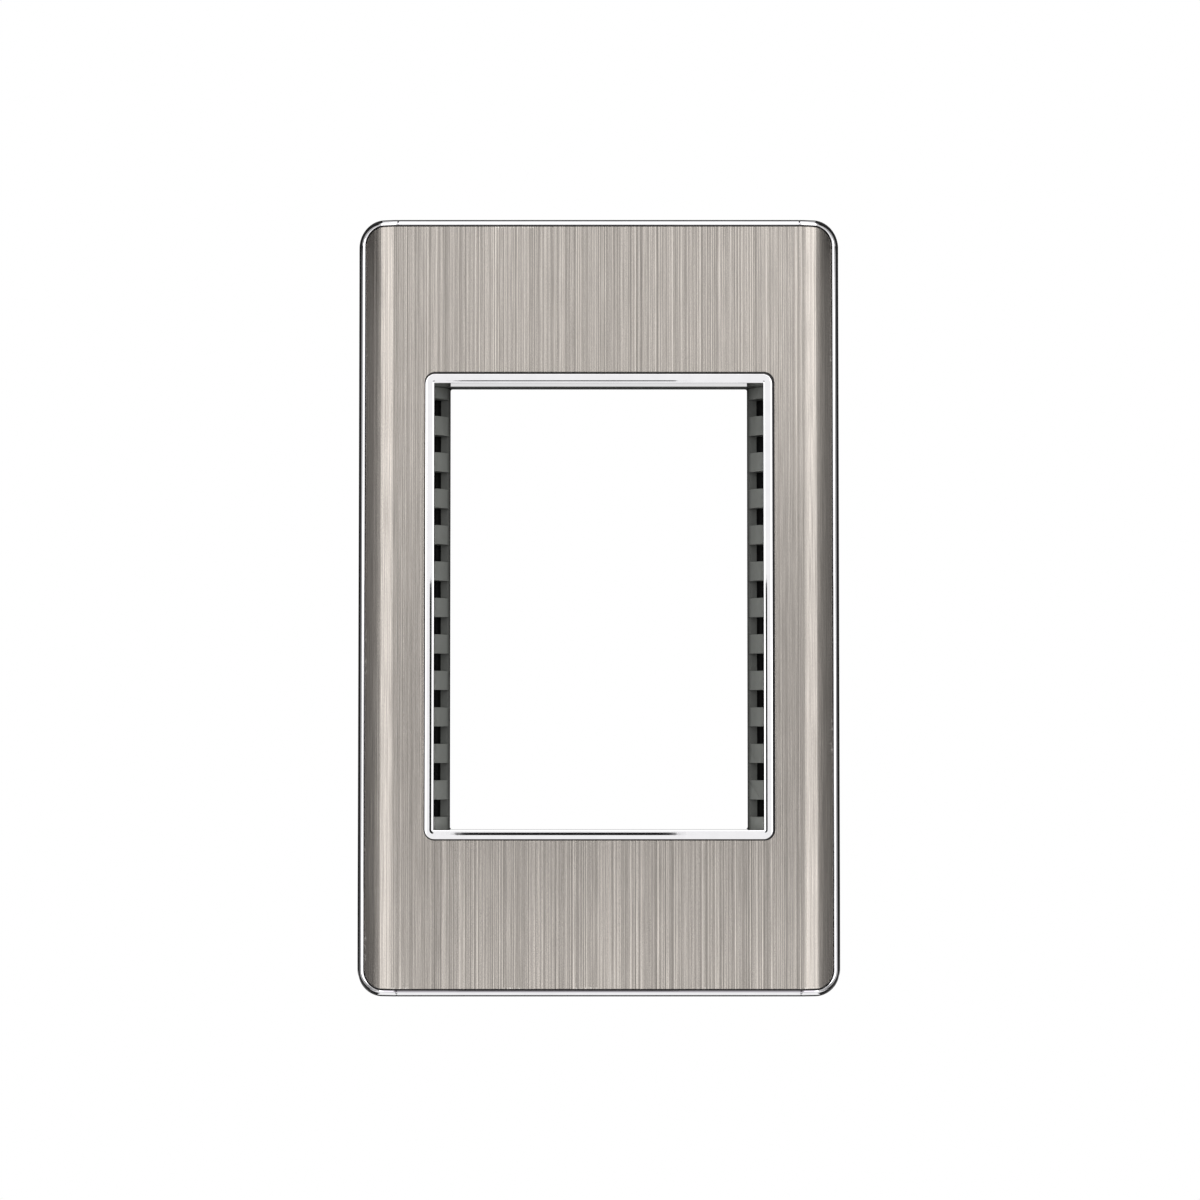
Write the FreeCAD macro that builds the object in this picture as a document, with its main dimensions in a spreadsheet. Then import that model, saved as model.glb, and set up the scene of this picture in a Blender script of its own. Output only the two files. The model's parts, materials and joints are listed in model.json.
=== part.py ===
"""Wall plate for three snap-in switch modules, modelled piece by piece.

The plate hangs on a wall in its own frame: X runs to the right, Z runs up and the front looks
along -Y. The wall is the plane Y = 0 and the origin is the middle of the screw pattern, which is
also the middle of the module opening. A level is a distance from the wall, so a level of 9 mm is
the plane Y = -9 mm.
"""

import FreeCAD, Part
import Sketcher

import math
import os

SHEET = "dims"
OUTPUT_FOLDER = "parts"

# Each row is a name, its value and what it measures. A value that starts with = follows others.
DIMENSIONS = (
    ("plate_width", "74 mm", "width over the edge trim"),
    ("plate_height", "119 mm", "height over the edge trim"),
    ("plate_depth", "9.5 mm", "level of the front of the window bezel"),
    ("corner_radius", "4 mm", "corner radius of the outline"),
    ("module_pitch", "22.5 mm", "height of one switch module"),
    ("module_count", "3", "modules in the opening"),
    ("notches_per_module", "4", "rail notches to each module"),
    ("screw_spacing", "83.5 mm", "height between the two wall box screws"),
    ("overcut", "1 mm", "how far a cut runs past the face it opens"),
    # Window seen from the front
    ("window_width", "50.4 mm", "clear width inside the bezel"),
    ("window_height", "68.4 mm", "clear height inside the bezel"),
    ("window_radius", "0.4 mm", "corner radius inside the bezel"),
    # Brushed face sheet
    ("sheet_thickness", "0.5 mm", "metal thickness"),
    ("sheet_level", "9.1 mm", "level of the flat front of the sheet"),
    ("roll_width", "4.5 mm", "width of one rolled side"),
    ("roll_drop", "2.2 mm", "how far a rolled side drops away from the flat"),
    ("sheet_side_gap", "0.15 mm", "sheet to edge trim at the sides"),
    ("sheet_end_gap", "0.25 mm", "sheet to edge trim at top and bottom"),
    ("sheet_window_gap", "0.2 mm", "sheet to bezel all round"),
    # Plated edge trim
    ("trim_wall", "1 mm", "wall thickness of the edge trim"),
    ("trim_proud", "0.15 mm", "trim front above the flat of the sheet"),
    ("trim_round", "0.6 mm", "rounding of the outer front edge"),
    ("trim_flange_width", "1 mm", "inward flange behind the carrier"),
    ("trim_flange_height", "0.5 mm", "thickness of the inward flange"),
    # Plated window bezel
    ("bezel_lip_width", "1.3 mm", "width of the lip seen from the front"),
    ("bezel_lip_radius", "1.3 mm", "outer corner radius of the lip"),
    ("bezel_round", "0.3 mm", "rounding of the lip edges"),
    ("bezel_wall", "0.8 mm", "wall thickness of the sleeve behind the lip"),
    ("bezel_seat_gap", "0.1 mm", "back end of the sleeve to the front of the rails"),
    ("bezel_barb_reach", "0.4 mm", "how far a bezel barb stands out"),
    ("bezel_barb_height", "1 mm", "height of a bezel barb"),
    ("bezel_barb_length", "5 mm", "length of a bezel barb along the wall"),
    ("bezel_barb_count", "2", "barbs on each side of the bezel"),
    ("side_barb_pitch", "42 mm", "distance between the barbs of a long side"),
    ("end_barb_pitch", "24 mm", "distance between the barbs of a short side"),
    # Moulded cover carrier
    ("carrier_web", "1.6 mm", "thickness of the web behind the sheet"),
    ("carrier_wall", "1.5 mm", "side wall thickness"),
    ("carrier_gap", "0.1 mm", "carrier to edge trim and to bezel sleeve"),
    ("haunch_width", "3 mm", "slope between web and side wall, across"),
    ("haunch_height", "1.8 mm", "slope between web and side wall, in depth"),
    ("rib_thickness", "1.2 mm", "stiffening rib thickness"),
    ("rib_height", "1.8 mm", "stiffening rib height under the web"),
    ("upright_rib_pitch", "15 mm", "distance between ribs above and below the window"),
    ("upright_rib_count", "4", "ribs above and below the window"),
    ("cross_rib_pitch", "18 mm", "distance between ribs across the back"),
    ("cross_rib_count", "6", "ribs across the back"),
    ("hook_length", "7 mm", "length of a cover hook"),
    ("hook_height", "1.1 mm", "height of a cover hook"),
    ("hook_tip", "0.4 mm", "height of the blunt tip of a hook or barb"),
    ("hook_root", "0.5 mm", "how deep a hook or barb is rooted in its wall"),
    ("hook_level", "2.2 mm", "level of the back end of a cover hook"),
    ("hook_bite", "0.6 mm", "how far a hook reaches into its window"),
    ("hook_pitch", "36 mm", "distance between cover hooks"),
    ("hook_count", "3", "cover hooks on each long side"),
    ("catch_gap", "0.05 mm", "catching face to the edge it holds"),
    # Moulded mounting frame
    ("frame_gap", "0.85 mm", "mounting frame to carrier wall"),
    ("frame_base", "1.8 mm", "thickness of the base plate"),
    ("frame_radius", "3 mm", "corner radius of the base plate"),
    ("rim_wall", "1.5 mm", "thickness of the outer rim"),
    ("rim_level", "4.4 mm", "level of the front of the rim"),
    ("rail_wall", "4.9 mm", "rail body from the opening outwards"),
    ("rail_level", "4.8 mm", "level of the front of the rails"),
    ("end_wall", "2 mm", "wall above and below the opening"),
    ("aperture_width", "46.2 mm", "clear width between the rails"),
    ("aperture_radius", "0.3 mm", "corner radius of the opening"),
    ("shoulder_width", "2.3 mm", "width of the rounded rail shoulder"),
    ("shoulder_height", "4.2 mm", "depth of the rounded rail shoulder"),
    ("notch_width", "2.7 mm", "height of one rail notch"),
    ("ledge_width", "1.4 mm", "width of the ledge inside a notch"),
    ("ledge_level", "1.8 mm", "level of the ledge inside a notch"),
    ("ledge_bevel", "0.35 mm", "bevel on the open edge of the ledge"),
    ("pocket_width", "1.5 mm", "width of the hook pocket behind the ledge"),
    ("pocket_level", "0.8 mm", "level of the floor of the hook pocket"),
    ("hook_window_gap", "0.3 mm", "hook window beyond the hook"),
    ("slot_width", "4.2 mm", "screw slot width"),
    ("slot_length", "9 mm", "screw slot length from end to end"),
    ("seat_width", "8.4 mm", "screw head seat width"),
    ("seat_length", "13.2 mm", "screw head seat length"),
    ("seat_depth", "0.6 mm", "screw head seat depth"),
    ("spine_width", "1.5 mm", "thickness of the stiffening spines"),
    ("spine_level", "4 mm", "level of the front of the spines"),
    ("upright_spine_pitch", "24 mm", "distance between the spines beside the screws"),
    ("upright_spine_count", "2", "spines above and below the opening"),
    ("cross_spine_pitch", "24 mm", "distance between the spines beside the opening"),
    ("cross_spine_count", "4", "spines beside the opening"),
    # Sizes that follow from the ones above
    ("notch_pitch", "=module_pitch / notches_per_module", "height from notch to notch"),
    ("notch_count", "=module_count * notches_per_module", "notches in one rail"),
    ("sheet_width", "=plate_width - 2 * (trim_wall + sheet_side_gap)", "width of the sheet"),
    ("sheet_height", "=plate_height - 2 * (trim_wall + sheet_end_gap)", "height of the sheet"),
    ("sheet_radius", "=corner_radius - trim_wall", "corner radius of the sheet"),
    ("flat_width", "=sheet_width - 2 * roll_width", "flat part between the two rolled sides"),
    ("roll_radius", "=(roll_width * roll_width + roll_drop * roll_drop) / (2 * roll_drop)",
     "outside radius of the rolled sides"),
    ("roll_centre_level", "=sheet_level - roll_radius", "level of the middle of the rolled sides"),
    ("roll_rise", "=roll_radius - roll_drop",
     "height of the sheet edge over the middle of its roll"),
    ("sheet_inside", "=(roll_radius - sheet_thickness) / roll_radius", "inside to outside of a roll"),
    ("trim_level", "=sheet_level + trim_proud", "level of the front of the trim"),
    ("trim_roll_radius", "=roll_radius + trim_proud", "radius of the trim over the rolled sides"),
    ("trim_roll_reach", "=plate_width / 2 - trim_wall - flat_width / 2",
     "width of the trim that follows one rolled side"),
    ("trim_land_level",
     "=roll_centre_level + sqrt(trim_roll_radius * trim_roll_radius - trim_roll_reach * trim_roll_reach)",
     "level of the trim beside the rolled sides"),
    ("well_width", "=plate_width - 2 * trim_wall", "inside width of the trim"),
    ("well_height", "=plate_height - 2 * trim_wall", "inside height of the trim"),
    ("web_level", "=sheet_level - sheet_thickness", "level of the carrier behind the sheet"),
    ("web_back_level", "=web_level - carrier_web", "level of the back of the carrier web"),
    ("carrier_width", "=well_width - 2 * carrier_gap", "width of the carrier"),
    ("carrier_height", "=well_height - 2 * carrier_gap", "height of the carrier"),
    ("carrier_radius", "=sheet_radius - carrier_gap", "corner radius of the carrier"),
    ("carrier_roll_radius", "=roll_radius - sheet_thickness", "radius of the carrier under a roll"),
    ("carrier_roll_reach", "=(carrier_width - flat_width) / 2",
     "width of the carrier under one rolled side"),
    ("carrier_edge_level",
     "=roll_centre_level + sqrt(carrier_roll_radius * carrier_roll_radius"
     " - carrier_roll_reach * carrier_roll_reach)",
     "level of the carrier at its long edges"),
    ("cavity_width", "=carrier_width - 2 * carrier_wall", "inside width of the carrier"),
    ("cavity_height", "=carrier_height - 2 * carrier_wall", "inside height of the carrier"),
    ("aperture_height", "=window_height", "clear height between the end walls"),
    ("bezel_back_level", "=rail_level + bezel_seat_gap", "level of the back end of the sleeve"),
    ("lip_width", "=window_width + 2 * bezel_lip_width", "outside width of the bezel lip"),
    ("lip_height", "=window_height + 2 * bezel_lip_width", "outside height of the bezel lip"),
    ("sleeve_width", "=window_width + 2 * bezel_wall", "outside width of the bezel sleeve"),
    ("sleeve_height", "=window_height + 2 * bezel_wall", "outside height of the bezel sleeve"),
    ("sleeve_radius", "=window_radius + bezel_wall", "corner radius of the bezel sleeve"),
    ("barb_catch_level", "=web_back_level - catch_gap", "level of the catching face of a barb"),
    ("frame_width", "=cavity_width - 2 * frame_gap", "width of the mounting frame"),
    ("frame_height", "=cavity_height - 2 * frame_gap", "height of the mounting frame"),
    ("hook_catch_level", "=hook_level + hook_height", "level of the catching face of a hook"),
    ("shoulder_radius",
     "=(shoulder_width * shoulder_width + shoulder_height * shoulder_height) / (2 * shoulder_width)",
     "radius of the rail shoulder"),
)

ORIGIN_POINT = (-1, 1)
TOLERANCE = 1e-4


def add_dimension_sheet(document):
    """Write every dimension into a spreadsheet, one named value to a row."""
    sheet = document.addObject("Spreadsheet::Sheet", SHEET)
    for row, (name, value, meaning) in enumerate(DIMENSIONS, start=1):
        sheet.set(f"A{row}", name)
        sheet.set(f"B{row}", value)
        sheet.set(f"C{row}", meaning)
        sheet.setAlias(f"B{row}", name)
    document.recompute()
    return sheet


def qualified(expression):
    """Return the expression with each dimension name pointing at the spreadsheet."""
    names = {name for name, _, _ in DIMENSIONS}
    words = expression.replace("(", " ( ").replace(")", " ) ").split()
    return " ".join(f"{SHEET}.{word}" if word in names else word for word in words)


def evaluated(owner, expression):
    """Return the present value of an expression as a plain number."""
    result = owner.evalExpression(qualified(expression))
    return float(getattr(result, "Value", result))


def bind(owner, attribute, expression):
    """Let an expression drive one property of an object."""
    owner.setExpression(attribute, qualified(expression))


def add_body(document, name):
    """Return a new body that carries its node name as label."""
    body = document.addObject("PartDesign::Body", name)
    body.Label = name
    return body


def add_sketch(body, name, plane, level="0 mm", shift=("0 mm", "0 mm")):
    """Return a sketch on one of the body's origin planes.

    The level moves it along the plane's normal: towards the front on XZ_Plane, upwards on
    XY_Plane and to the right on YZ_Plane. The shift moves it within the plane.
    """
    planes = {feature.Role: feature for feature in body.Origin.OriginFeatures}
    sketch = body.newObject("Sketcher::SketchObject", name)
    sketch.AttachmentSupport = (planes[plane], [""])
    sketch.MapMode = "FlatFace"
    bind(sketch, "AttachmentOffset.Base.x", shift[0])
    bind(sketch, "AttachmentOffset.Base.y", shift[1])
    bind(sketch, "AttachmentOffset.Base.z", level)
    return sketch


def constrain(sketch, expression, *definition):
    """Add one dimensional constraint and let an expression drive it."""
    value = evaluated(sketch, expression)
    index = sketch.addConstraint(Sketcher.Constraint(*definition, value))
    bind(sketch, f"Constraints[{index}]", expression)


def draw_rounded_rectangle(sketch, width, height, radius):
    """Draw a rectangle with round corners, centred on the sketch origin."""
    half_width = evaluated(sketch, width) / 2
    half_height = evaluated(sketch, height) / 2
    corner = evaluated(sketch, radius)
    inner_x = half_width - corner
    inner_y = half_height - corner
    normal = FreeCAD.Vector(0, 0, 1)
    sides = (
        ((-inner_x, -half_height), (inner_x, -half_height)),
        ((half_width, -inner_y), (half_width, inner_y)),
        ((inner_x, half_height), (-inner_x, half_height)),
        ((-half_width, inner_y), (-half_width, -inner_y)),
    )
    centres = ((inner_x, -inner_y), (inner_x, inner_y), (-inner_x, inner_y), (-inner_x, -inner_y))
    lines = [
        sketch.addGeometry(Part.LineSegment(FreeCAD.Vector(*start, 0), FreeCAD.Vector(*end, 0)))
        for start, end in sides
    ]
    arcs = []
    for quarter, centre in enumerate(centres):
        circle = Part.Circle(FreeCAD.Vector(*centre, 0), normal, corner)
        start_angle = (quarter - 1) * math.pi / 2
        arc = Part.ArcOfCircle(circle, start_angle, start_angle + math.pi / 2)
        arcs.append(sketch.addGeometry(arc))
    bottom, right, top, left = lines
    for index, (line, arc) in enumerate(zip(lines, arcs)):
        following = lines[(index + 1) % len(lines)]
        sketch.addConstraint(Sketcher.Constraint("Tangent", line, 2, arc, 1))
        sketch.addConstraint(Sketcher.Constraint("Tangent", arc, 2, following, 1))
    for line in (bottom, top):
        sketch.addConstraint(Sketcher.Constraint("Horizontal", line))
    for line in (left, right):
        sketch.addConstraint(Sketcher.Constraint("Vertical", line))
    for arc in arcs[1:]:
        sketch.addConstraint(Sketcher.Constraint("Equal", arcs[0], arc))
    sketch.addConstraint(Sketcher.Constraint("Symmetric", bottom, 1, top, 1, *ORIGIN_POINT))
    constrain(sketch, width, "DistanceX", left, 1, right, 1)
    constrain(sketch, height, "DistanceY", bottom, 1, top, 1)
    constrain(sketch, radius, "Radius", arcs[0])


def arc_between(start, end, radius, centre_on_left):
    """Return the short arc between two points and whether it runs from start to end."""
    chord = end - start
    middle = (start + end) * 0.5
    rise = math.sqrt(radius * radius - (chord.Length / 2) ** 2)
    left = FreeCAD.Vector(-chord.y, chord.x, 0).normalize()
    centre = middle + left * (rise if centre_on_left else -rise)
    first, last = (start, end) if centre_on_left else (end, start)
    angles = [math.atan2(point.y - centre.y, point.x - centre.x) for point in (first, last)]
    circle = Part.Circle(centre, FreeCAD.Vector(0, 0, 1), radius)
    return Part.ArcOfCircle(circle, angles[0], angles[1]), centre_on_left


def draw_profile(sketch, corners):
    """Draw a closed outline through corners given as expressions.

    A corner is (x, y) where a straight line arrives, and (x, y, radius, side) where an arc
    arrives that has its centre on the left or right of the way.
    """
    points = [
        FreeCAD.Vector(evaluated(sketch, corner[0]), evaluated(sketch, corner[1]), 0)
        for corner in corners
    ]
    ends = []
    for index, corner in enumerate(corners):
        start, end = points[index - 1], points[index]
        if len(corner) == 2:
            segment = sketch.addGeometry(Part.LineSegment(start, end))
            ends.append((segment, 1, 2))
            continue
        radius, side = corner[2], corner[3]
        arc, forward = arc_between(start, end, evaluated(sketch, radius), side == "left")
        segment = sketch.addGeometry(arc)
        ends.append((segment, 1, 2) if forward else (segment, 2, 1))
        constrain(sketch, radius, "Radius", segment)
    for index, corner in enumerate(corners):
        segment, _, arrival = ends[index]
        following, departure, _ = ends[(index + 1) % len(ends)]
        sketch.addConstraint(
            Sketcher.Constraint("Coincident", segment, arrival, following, departure)
        )
        constrain(sketch, corner[0], "DistanceX", *ORIGIN_POINT, segment, arrival)
        constrain(sketch, corner[1], "DistanceY", *ORIGIN_POINT, segment, arrival)


def mirrored(corners):
    """Return the corners of a profile reflected left to right."""
    other_side = {"left": "right", "right": "left"}
    return [
        (f"-1 * ({corner[0]})", corner[1], *corner[2:3], *(other_side[s] for s in corner[3:]))
        for corner in corners
    ]


def draw_on_both_sides(sketch, corners):
    """Draw a closed outline and its reflection."""
    draw_profile(sketch, corners)
    draw_profile(sketch, mirrored(corners))


def extrude(body, kind, name, sketch, length, symmetric=False, reverse=False):
    """Return a pad or pocket of a sketch with a driven length."""
    feature = body.newObject(f"PartDesign::{kind}", name)
    feature.Profile = (sketch, [""])
    bind(feature, "Length", length)
    feature.SideType = "Symmetric" if symmetric else "One side"
    feature.Reversed = reverse
    sketch.Visibility = False
    return feature


def pad(body, name, sketch, length, symmetric=False):
    """Add material along the sketch normal, or to both sides of the sketch."""
    return extrude(body, "Pad", name, sketch, length, symmetric)


def pocket(body, name, sketch, length, symmetric=False):
    """Cut material behind the sketch, or to both sides of the sketch."""
    return extrude(body, "Pocket", name, sketch, length, symmetric)


def repeat_along(body, name, feature, axis, count, pitch):
    """Repeat a feature along one of the body's axes."""
    axes = {origin.Role: origin for origin in body.Origin.OriginFeatures}
    pattern = body.newObject("PartDesign::LinearPattern", name)
    pattern.Originals = [feature]
    pattern.Direction = (axes[axis], [""])
    pattern.Mode = "Extent"
    bind(pattern, "Length", f"( {count} - 1 ) * {pitch}")
    bind(pattern, "Occurrences", count)
    body.Tip = pattern
    return pattern


def block_pad(body, name, size, levels, radius):
    """Add a rounded block, centred on the origin, between two levels."""
    sketch = add_sketch(body, f"{name}_outline", "XZ_Plane", levels[0])
    draw_rounded_rectangle(sketch, size[0], size[1], radius)
    return pad(body, name, sketch, f"{levels[1]} - ( {levels[0]} )")


def block_pocket(body, name, size, levels, radius):
    """Cut a rounded block, centred on the origin, between two levels."""
    sketch = add_sketch(body, f"{name}_outline", "XZ_Plane", levels[1])
    draw_rounded_rectangle(sketch, size[0], size[1], radius)
    return pocket(body, name, sketch, f"{levels[1]} - ( {levels[0]} )")


def edges_where(feature, test):
    """Return the names of the feature's edges whose sampled points all pass a test."""
    names = []
    for number, edge in enumerate(feature.Shape.Edges, start=1):
        if all(test(point) for point in edge.discretize(Number=5)):
            names.append(f"Edge{number}")
    return names


def draw_upright_slot(sketch, width, length):
    """Draw a slot with round ends that stands upright on the sketch origin."""
    radius = evaluated(sketch, width) / 2
    reach = evaluated(sketch, length) / 2 - radius
    normal = FreeCAD.Vector(0, 0, 1)
    arcs = []
    for direction in (1, -1):
        circle = Part.Circle(FreeCAD.Vector(0, direction * reach, 0), normal, radius)
        start_angle = 0 if direction == 1 else math.pi
        arc = Part.ArcOfCircle(circle, start_angle, start_angle + math.pi)
        arcs.append(sketch.addGeometry(arc))
    lines = []
    for direction in (-1, 1):
        start = FreeCAD.Vector(direction * radius, -direction * reach, 0)
        end = FreeCAD.Vector(direction * radius, direction * reach, 0)
        lines.append(sketch.addGeometry(Part.LineSegment(end, start)))
    upper, lower = arcs
    left, right = lines
    for line, arc_before, arc_after in ((left, upper, lower), (right, lower, upper)):
        sketch.addConstraint(Sketcher.Constraint("Tangent", arc_before, 2, line, 2))
        sketch.addConstraint(Sketcher.Constraint("Tangent", line, 1, arc_after, 1))
    for line in lines:
        sketch.addConstraint(Sketcher.Constraint("Vertical", line))
    sketch.addConstraint(Sketcher.Constraint("Symmetric", upper, 3, lower, 3, *ORIGIN_POINT))
    constrain(sketch, f"( {width} ) / 2", "Radius", upper)
    constrain(sketch, f"{length} - {width}", "DistanceY", lower, 3, upper, 3)


def cut_rolled_sides(body, name, front_level, radius, edge_x, edge_level):
    """Round both long sides of a body away from its flat front."""
    profile = (
        ("flat_width / 2", f"-1 * {front_level}"),
        (edge_x, f"-1 * {edge_level}", radius, "left"),
        ("plate_width / 2 + overcut", f"-1 * {edge_level}"),
        ("plate_width / 2 + overcut", "-1 * ( plate_depth + overcut )"),
        ("flat_width / 2", "-1 * ( plate_depth + overcut )"),
    )
    sketch = add_sketch(body, f"{name}_section", "XY_Plane")
    draw_on_both_sides(sketch, profile)
    return pocket(body, name, sketch, "plate_height + 2 * overcut", symmetric=True)


def build_face_sheet(document):
    """Build the brushed metal sheet with its rolled sides, round corners and window."""
    body = add_body(document, "face_sheet")
    section = add_sketch(body, "sheet_section", "XY_Plane")
    right_half = (
        ("flat_width / 2", "-1 * sheet_level"),
        (
            "flat_width / 2 + roll_width",
            "-1 * ( roll_centre_level + roll_rise )",
            "roll_radius",
            "left",
        ),
        (
            "flat_width / 2 + roll_width * sheet_inside",
            "-1 * ( roll_centre_level + roll_rise * sheet_inside )",
        ),
        ("flat_width / 2", "-1 * web_level", "carrier_roll_radius", "right"),
    )
    x_outer, x_inner = right_half[1][0], right_half[2][0]
    left_half = (
        (f"-1 * ( {right_half[3][0]} )", right_half[3][1]),
        (f"-1 * ( {x_inner} )", right_half[2][1], "carrier_roll_radius", "right"),
        (f"-1 * ( {x_outer} )", right_half[1][1]),
        (f"-1 * ( {right_half[0][0]} )", right_half[0][1], "roll_radius", "left"),
    )
    draw_profile(section, right_half + left_half)
    pad(body, "rolled_sheet", section, "sheet_height", symmetric=True)

    corners = add_sketch(body, "corner_outline", "XZ_Plane", "plate_depth + overcut")
    draw_rectangle(corners, "plate_width", "plate_height")
    draw_rounded_rectangle(corners, "sheet_width", "sheet_height", "sheet_radius")
    pocket(body, "round_corners", corners, "plate_depth + 2 * overcut")

    window = ("lip_width + 2 * sheet_window_gap", "lip_height + 2 * sheet_window_gap")
    levels = ("0 mm", "plate_depth + overcut")
    block_pocket(body, "sheet_window", window, levels, "bezel_lip_radius + sheet_window_gap")
    return body


def build_outer_trim(document):
    """Build the plated edge trim: a ring with an inward flange that follows the rolled sides."""
    body = add_body(document, "outer_trim")
    block_pad(
        body, "trim_block", ("plate_width", "plate_height"), ("0 mm", "trim_level"),
        "corner_radius",
    )
    cut_rolled_sides(
        body, "trim_roll", "trim_level", "trim_roll_radius", "well_width / 2", "trim_land_level"
    )
    block_pocket(
        body, "trim_well", ("well_width", "well_height"),
        ("trim_flange_height", "plate_depth + overcut"), "sheet_radius",
    )
    flange_opening = (
        "well_width - 2 * trim_flange_width",
        "well_height - 2 * trim_flange_width",
    )
    block_pocket(
        body, "flange_opening", flange_opening, ("-1 * overcut", "plate_depth"),
        "sheet_radius - trim_flange_width",
    )
    document.recompute()

    half_width = evaluated(body, "plate_width / 2")
    half_height = evaluated(body, "plate_height / 2")
    radius = evaluated(body, "corner_radius")
    lowest = evaluated(body, "trim_land_level - trim_flange_height")

    def on_outer_front_edge(point):
        across = max(abs(point.x) - (half_width - radius), 0)
        along = max(abs(point.z) - (half_height - radius), 0)
        on_outline = abs(math.hypot(across, along) - radius) < TOLERANCE
        return on_outline and -point.y > lowest

    last = body.Tip
    rounding = body.newObject("PartDesign::Fillet", "trim_rounding")
    rounding.Base = (last, edges_where(last, on_outer_front_edge))
    bind(rounding, "Radius", "trim_round")
    return body


def build_inner_bezel(document):
    """Build the plated window bezel: a rounded lip on a deep sleeve with snap barbs."""
    body = add_body(document, "inner_bezel")
    block_pad(
        body, "bezel_lip", ("lip_width", "lip_height"), ("web_level", "plate_depth"),
        "bezel_lip_radius",
    )
    block_pad(
        body, "bezel_sleeve", ("sleeve_width", "sleeve_height"),
        ("bezel_back_level", "web_level"), "sleeve_radius",
    )
    window = ("window_width", "window_height")
    block_pocket(
        body, "bezel_window", window, ("0 mm", "plate_depth + overcut"), "window_radius"
    )

    barbs = (
        ("XY_Plane", "sleeve_width", "Z_Axis", "side_barb"),
        ("YZ_Plane", "sleeve_height", "X_Axis", "end_barb"),
    )
    for plane, size, axis, name in barbs:
        first = f"-1 * ( bezel_barb_count - 1 ) / 2 * {name}_pitch"
        sketch = add_sketch(body, f"{name}_section", plane, first)
        draw_barb = draw_on_both_sides if plane == "XY_Plane" else draw_above_and_below
        draw_barb(sketch, catch_profile(
            f"{size} / 2", "bezel_barb_reach", "barb_catch_level", "bezel_barb_height"
        ))
        barb = pad(body, name, sketch, "bezel_barb_length", symmetric=True)
        repeat_along(body, f"{name}s", barb, axis, "bezel_barb_count", f"{name}_pitch")
    document.recompute()

    front = evaluated(body, "plate_depth")
    last = body.Tip
    rounding = body.newObject("PartDesign::Fillet", "lip_rounding")
    rounding.Base = (last, edges_where(last, lambda point: abs(-point.y - front) < TOLERANCE))
    bind(rounding, "Radius", "bezel_round")
    return body


def catch_profile(wall, reach, catch_level, height):
    """Return the outline of a hook that stands out from a wall and catches towards the front."""
    return (
        (f"{wall} - hook_root", f"-1 * {catch_level}"),
        (f"{wall} + {reach}", f"-1 * {catch_level}"),
        (f"{wall} + {reach}", f"-1 * ( {catch_level} - hook_tip )"),
        (f"{wall} - hook_root", f"-1 * ( {catch_level} - {height} )"),
    )


def draw_above_and_below(sketch, corners):
    """Draw an outline given as (height, depth) at the top and at the bottom of the plate."""
    upper = [(depth, height) for height, depth in corners]
    lower = [(depth, f"-1 * ( {height} )") for height, depth in corners]
    draw_profile(sketch, upper)
    draw_profile(sketch, lower)


def build_cover_carrier(document):
    """Build the moulded carrier behind the sheet, with its ribs, window and cover hooks."""
    body = add_body(document, "cover_carrier")
    block_pad(
        body, "carrier_block", ("carrier_width", "carrier_height"),
        ("trim_flange_height", "web_level"), "carrier_radius",
    )
    cut_rolled_sides(
        body, "carrier_roll", "web_level", "carrier_roll_radius", "carrier_width / 2",
        "carrier_edge_level",
    )
    cavity = add_sketch(body, "cavity_section", "XY_Plane")
    right_half = (
        ("cavity_width / 2 - haunch_width", "-1 * web_back_level"),
        ("cavity_width / 2", "-1 * ( web_back_level - haunch_height )"),
        ("cavity_width / 2", "overcut"),
    )
    left_half = tuple((f"-1 * ( {x} )", y) for x, y in reversed(right_half))
    draw_profile(cavity, right_half + left_half)
    pocket(body, "cavity", cavity, "cavity_height", symmetric=True)

    add_grid(
        body, "rib", ("web_back_level - rib_height", "web_back_level"), "rib_thickness",
        ("cavity_width", "cavity_height"),
    )
    window = ("sleeve_width + 2 * carrier_gap", "sleeve_height + 2 * carrier_gap")
    block_pocket(
        body, "carrier_window", window, ("0 mm", "plate_depth"), "sleeve_radius + carrier_gap"
    )

    hooks = add_sketch(body, "hook_section", "XY_Plane", "-1 * ( hook_count - 1 ) / 2 * hook_pitch")
    wall = "cavity_width / 2"
    tip = "frame_width / 2 - hook_bite"
    draw_on_both_sides(hooks, (
        (f"{wall} + hook_root", "-1 * hook_catch_level"),
        (tip, "-1 * hook_catch_level"),
        (tip, "-1 * ( hook_catch_level - hook_tip )"),
        (f"{wall} + hook_root", "-1 * hook_level"),
    ))
    hook = pad(body, "hook", hooks, "hook_length", symmetric=True)
    repeat_along(body, "hooks", hook, "Z_Axis", "hook_count", "hook_pitch")
    return body


def add_grid(body, kind, levels, thickness, span):
    """Add upright and cross ribs between two levels, centred on the origin."""
    depth = f"{levels[1]} - ( {levels[0]} )"
    directions = (
        ("upright", "X_Axis", ("%s", "0 mm"), (thickness, span[1])),
        ("cross", "Z_Axis", ("0 mm", "%s"), (span[0], thickness)),
    )
    for direction, axis, shift, size in directions:
        name = f"{direction}_{kind}"
        first = f"-1 * ( {name}_count - 1 ) / 2 * {name}_pitch"
        place = tuple(part.replace("%s", first) for part in shift)
        sketch = add_sketch(body, f"{name}_outline", "XZ_Plane", levels[0], place)
        draw_rectangle(sketch, size[0], size[1])
        rib = pad(body, name, sketch, depth)
        repeat_along(body, f"{name}s", rib, axis, f"{name}_count", f"{name}_pitch")


def draw_rectangle(sketch, width, height):
    """Draw a rectangle with square corners, centred on the sketch origin."""
    half_width, half_height = f"( {width} ) / 2", f"( {height} ) / 2"
    draw_profile(sketch, (
        (half_width, f"-1 * {half_height}"),
        (half_width, half_height),
        (f"-1 * {half_width}", half_height),
        (f"-1 * {half_width}", f"-1 * {half_height}"),
    ))


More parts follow.
